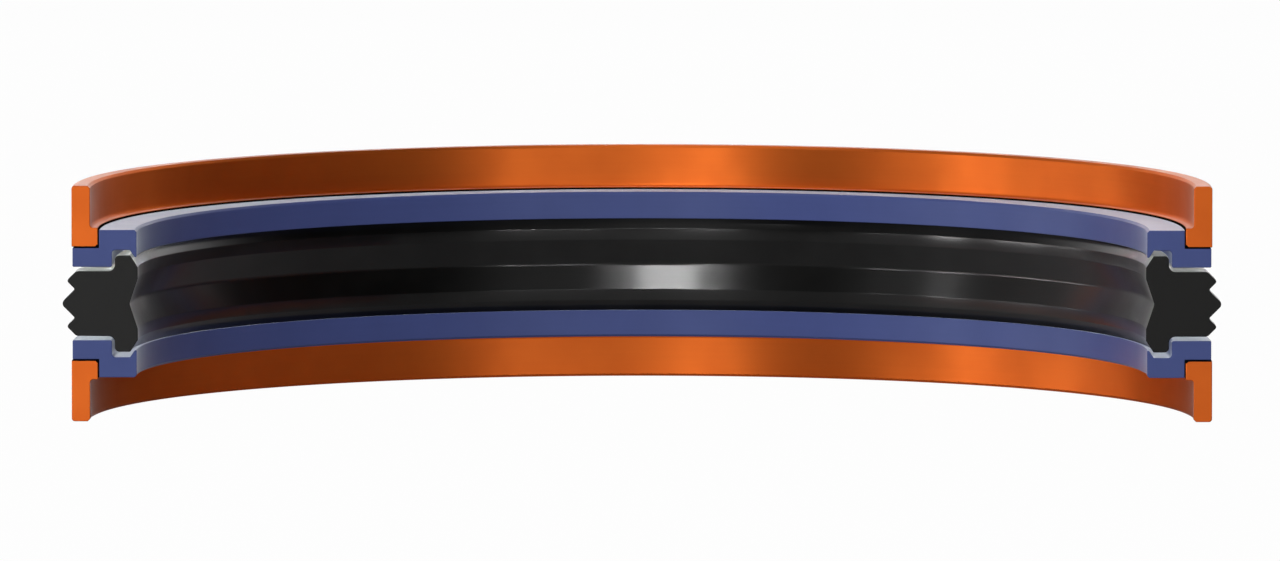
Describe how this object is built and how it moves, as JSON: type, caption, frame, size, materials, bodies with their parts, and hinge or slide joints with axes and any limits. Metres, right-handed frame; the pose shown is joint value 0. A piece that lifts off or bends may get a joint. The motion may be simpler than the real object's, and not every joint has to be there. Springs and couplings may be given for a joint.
{
  "type": "piston seal",
  "caption": "Half section of a double-acting piston seal: a lipped rubber element between stepped backup rings and L-section guide rings.",
  "frame": {"origin": "middle of the base of the half ring's box, on the lower guide ring's end face", "axes": "+Z along the seal's axis, +X across the cut faces, +Y from the cut faces towards the back of the half ring; the seal's axis stands at x 0, y -0.0635 m"},
  "size_m": [0.2538, 0.127, 0.0518],
  "materials": {
    "guide_plastic": "turned orange plastic, satin",
    "backup_plastic": "turned slate blue plastic, satin",
    "seal_rubber": "moulded black rubber, cut face matt"
  },
  "bodies": {
    "root": {"guide_ring_upper": "guide_plastic", "backup_ring_upper": "backup_plastic", "seal_element": "seal_rubber", "backup_ring_lower": "backup_plastic", "guide_ring_lower": "guide_plastic"}
  },
  "joints": []
}
